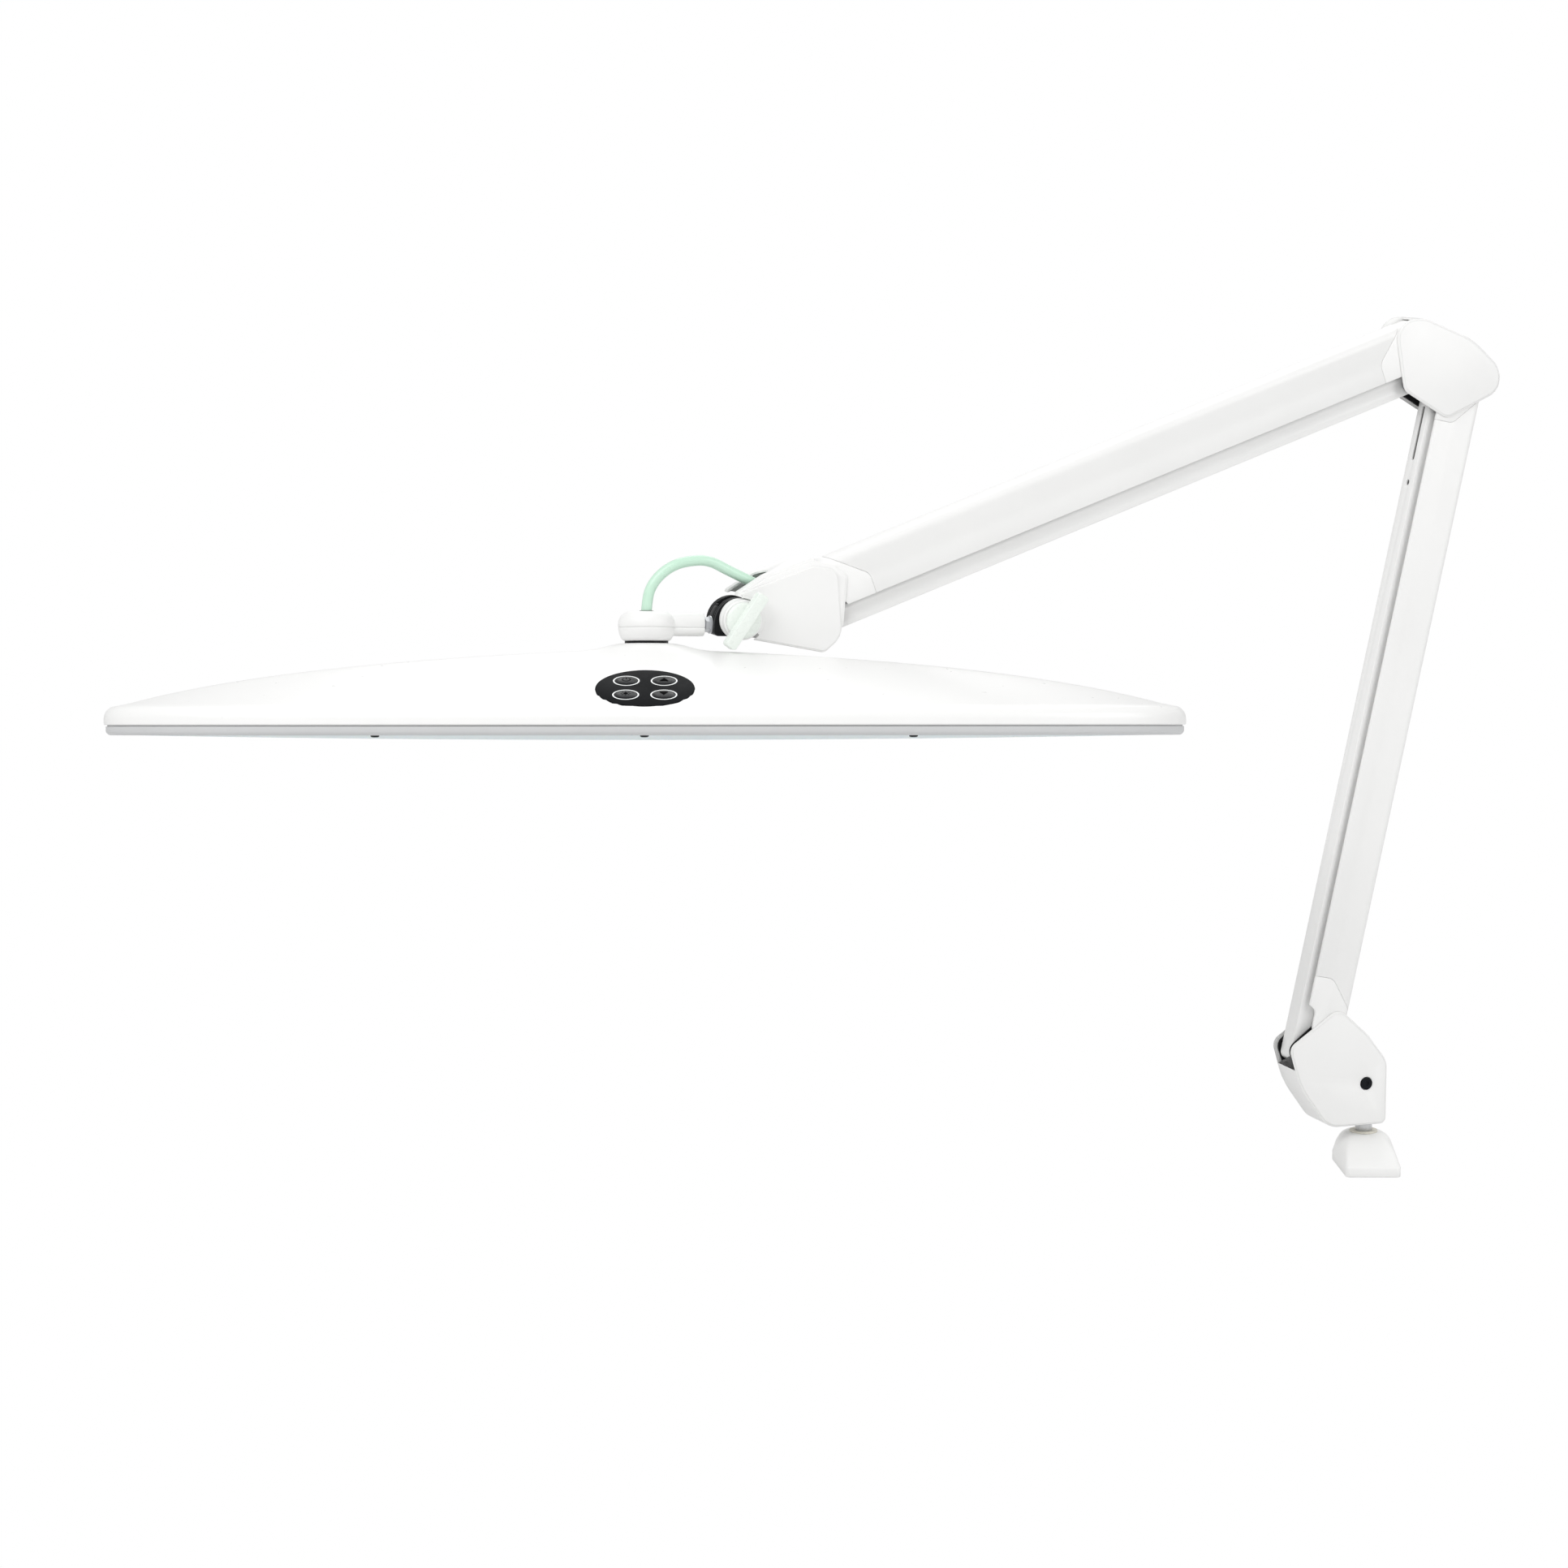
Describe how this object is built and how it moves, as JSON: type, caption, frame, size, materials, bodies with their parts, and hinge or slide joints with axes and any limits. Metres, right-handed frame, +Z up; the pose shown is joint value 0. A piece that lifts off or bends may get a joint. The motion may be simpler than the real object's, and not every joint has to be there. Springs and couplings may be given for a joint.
{
  "type": "swing arm desk lamp",
  "caption": "Bench lamp with a long boat-shaped LED head on two spring-balanced parallelogram arms, an elbow, a tilting and turning neck and a small bolt-down foot.",
  "frame": {"origin": "centre of the pivot pin's axis on the foot's underside, which lies flat on the bench", "axes": "+X along the head's length to the side the arms lean to, +Y away from the keypad, +Z up; the arms stand in the XZ plane turned 19 degrees about +Z"},
  "size_m": [0.8567, 0.298, 0.5424],
  "materials": {
    "white_paint": "semi-gloss white powder coat",
    "white_shell": "satin moulded white",
    "head_white": "satin-gloss moulded white",
    "black_paint": "satin black coat on steel",
    "black_plastic": "matt moulded black",
    "zinc_steel": "zinc plated",
    "nylon": "natural nylon",
    "knob_white": "gloss faintly mint white",
    "cable_mint": "pale mint cable jacket",
    "diffuser_opal": "opal acrylic",
    "bezel_grey": "satin light grey",
    "tray_aluminium": "bare sheet",
    "led_board": "white solder mask",
    "led_phosphor": "yellow phosphor",
    "driver_case": "satin",
    "key_board": "green solder mask",
    "screw_dark": "dark zinc"
  },
  "bodies": {
    "foot": {"foot_body": "white_shell", "foot_bush": "nylon"},
    "base_bracket": {"pivot_pin": "zinc_steel", "base_frame": "black_paint", "base_cover_front": "white_shell", "base_cover_rear": "white_shell", "base_cover_screws": "screw_dark", "base_axles": "zinc_steel"},
    "lower_arm": {"lower_channel": "white_paint", "lower_end_base": "white_shell", "lower_end_elbow": "white_shell", "lower_bushes": "nylon", "lower_spring": "zinc_steel", "lower_spring_anchor": "zinc_steel"},
    "lower_bar": {"lower_link": "white_paint"},
    "elbow": {"elbow_frame": "black_paint", "elbow_cap_front": "white_shell", "elbow_cap_rear": "white_shell", "elbow_axles": "zinc_steel"},
    "upper_arm": {"upper_channel": "white_paint", "upper_end_elbow": "white_shell", "upper_end_head": "white_shell", "upper_bushes": "nylon", "upper_spring": "zinc_steel", "upper_spring_anchor": "zinc_steel"},
    "upper_bar": {"upper_link": "white_paint"},
    "head_bracket": {"head_frame": "black_paint", "head_cover": "white_shell", "head_axles": "zinc_steel", "friction_washers": "nylon", "cable_clamp": "black_plastic", "cable_upper": "cable_mint"},
    "knuckle": {"tilt_yoke": "black_plastic", "clamp_bolt": "zinc_steel", "knob_spacer": "white_shell", "roll_bolt": "zinc_steel"},
    "knob": {"wing_knob": "knob_white"},
    "neck": {"neck_cup": "white_shell", "neck_dome": "white_shell", "cable_gland": "black_plastic", "cable_lower": "cable_mint", "swivel_washer": "black_plastic"},
    "head": {"shade": "head_white", "bezel": "bezel_grey", "diffuser": "diffuser_opal", "led_tray": "tray_aluminium", "led_boards": "led_board", "leds": "led_phosphor", "driver_box": "driver_case", "keypad_panel": "black_plastic", "keypad_board": "key_board", "neck_stud": "zinc_steel", "neck_nut": "zinc_steel", "bezel_screws": "screw_dark"},
    "power_button": {"button_power": "black_plastic"},
    "up_button": {"button_up": "black_plastic"},
    "light_button": {"button_light": "black_plastic"},
    "down_button": {"button_down": "black_plastic"}
  },
  "joints": [
    {"name": "base_turn", "type": "hinge", "parent": "foot", "child": "base_bracket", "pos_m": [0, 0, 0.02], "axis": [0, 0, 1], "continuous": true},
    {"name": "lower_swing", "type": "hinge", "parent": "base_bracket", "child": "lower_arm", "pos_m": [-0.03026, -0.01042, 0.0927], "axis": [-0.3256, 0.9455, 0], "range_deg": [-60, 5], "deforming": ["lower_spring"]},
    {"name": "lower_bar_swing", "type": "hinge", "parent": "base_bracket", "child": "lower_bar", "pos_m": [-0.04754, -0.01637, 0.07565], "axis": [-0.3256, 0.9455, 0], "range_deg": [-60, 5]},
    {"name": "elbow_level", "type": "hinge", "parent": "lower_arm", "child": "elbow", "pos_m": [0.05338, 0.01838, 0.50533], "axis": [-0.3256, 0.9455, 0], "range_deg": [-5, 60]},
    {"name": "upper_swing", "type": "hinge", "parent": "elbow", "child": "upper_arm", "pos_m": [0.02001, 0.00689, 0.52843], "axis": [-0.3256, 0.9455, 0], "range_deg": [-18, 35], "deforming": ["upper_spring"]},
    {"name": "upper_bar_swing", "type": "hinge", "parent": "elbow", "child": "upper_bar", "pos_m": [0.02001, 0.00689, 0.50343], "axis": [-0.3256, 0.9455, 0], "range_deg": [-18, 35]},
    {"name": "head_level", "type": "hinge", "parent": "upper_arm", "child": "head_bracket", "pos_m": [-0.35612, -0.12262, 0.38756], "axis": [-0.3256, 0.9455, 0], "range_deg": [-35, 18]},
    {"name": "head_tilt", "type": "hinge", "parent": "head_bracket", "child": "knuckle", "pos_m": [-0.40528, -0.13955, 0.36856], "axis": [-0.3256, 0.9455, 0], "range_deg": [0, 70], "deforming": ["cable_upper", "cable_lower"]},
    {"name": "knob_turn", "type": "hinge", "parent": "knuckle", "child": "knob", "pos_m": [-0.40528, -0.13955, 0.36856], "axis": [-0.3256, 0.9455, 0], "range_deg": [0, 110]},
    {"name": "head_roll", "type": "hinge", "parent": "knuckle", "child": "neck", "pos_m": [-0.40547, -0.13961, 0.36406], "axis": [0.9446, 0.3253, -0.0436], "range_deg": [-5, 20], "deforming": ["cable_lower"]},
    {"name": "neck_turn", "type": "hinge", "parent": "neck", "child": "head", "pos_m": [-0.45742, -0.15898, 0.35556], "axis": [-0.0005, 0.1342, 0.991], "range_deg": [-90, 90]},
    {"name": "power_press", "type": "slide", "parent": "head", "child": "power_button", "axis": [-0.0071, 0.2467, -0.9691], "range_m": [0, 0.0005], "stiffness_N_per_m": 400, "springref_m": -0.001},
    {"name": "up_press", "type": "slide", "parent": "head", "child": "up_button", "axis": [-0.0071, 0.2467, -0.9691], "range_m": [0, 0.0005], "stiffness_N_per_m": 400, "springref_m": -0.001},
    {"name": "light_press", "type": "slide", "parent": "head", "child": "light_button", "axis": [-0.0071, 0.2467, -0.9691], "range_m": [0, 0.0005], "stiffness_N_per_m": 400, "springref_m": -0.001},
    {"name": "down_press", "type": "slide", "parent": "head", "child": "down_button", "axis": [-0.0071, 0.2467, -0.9691], "range_m": [0, 0.0005], "stiffness_N_per_m": 400, "springref_m": -0.001}
  ],
  "couplings": [
    {"joint": "lower_bar_swing", "follows": "lower_swing", "ratio": 1},
    {"joint": "elbow_level", "follows": "lower_swing", "ratio": -1},
    {"joint": "upper_bar_swing", "follows": "upper_swing", "ratio": 1},
    {"joint": "head_level", "follows": "upper_swing", "ratio": -1}
  ]
}
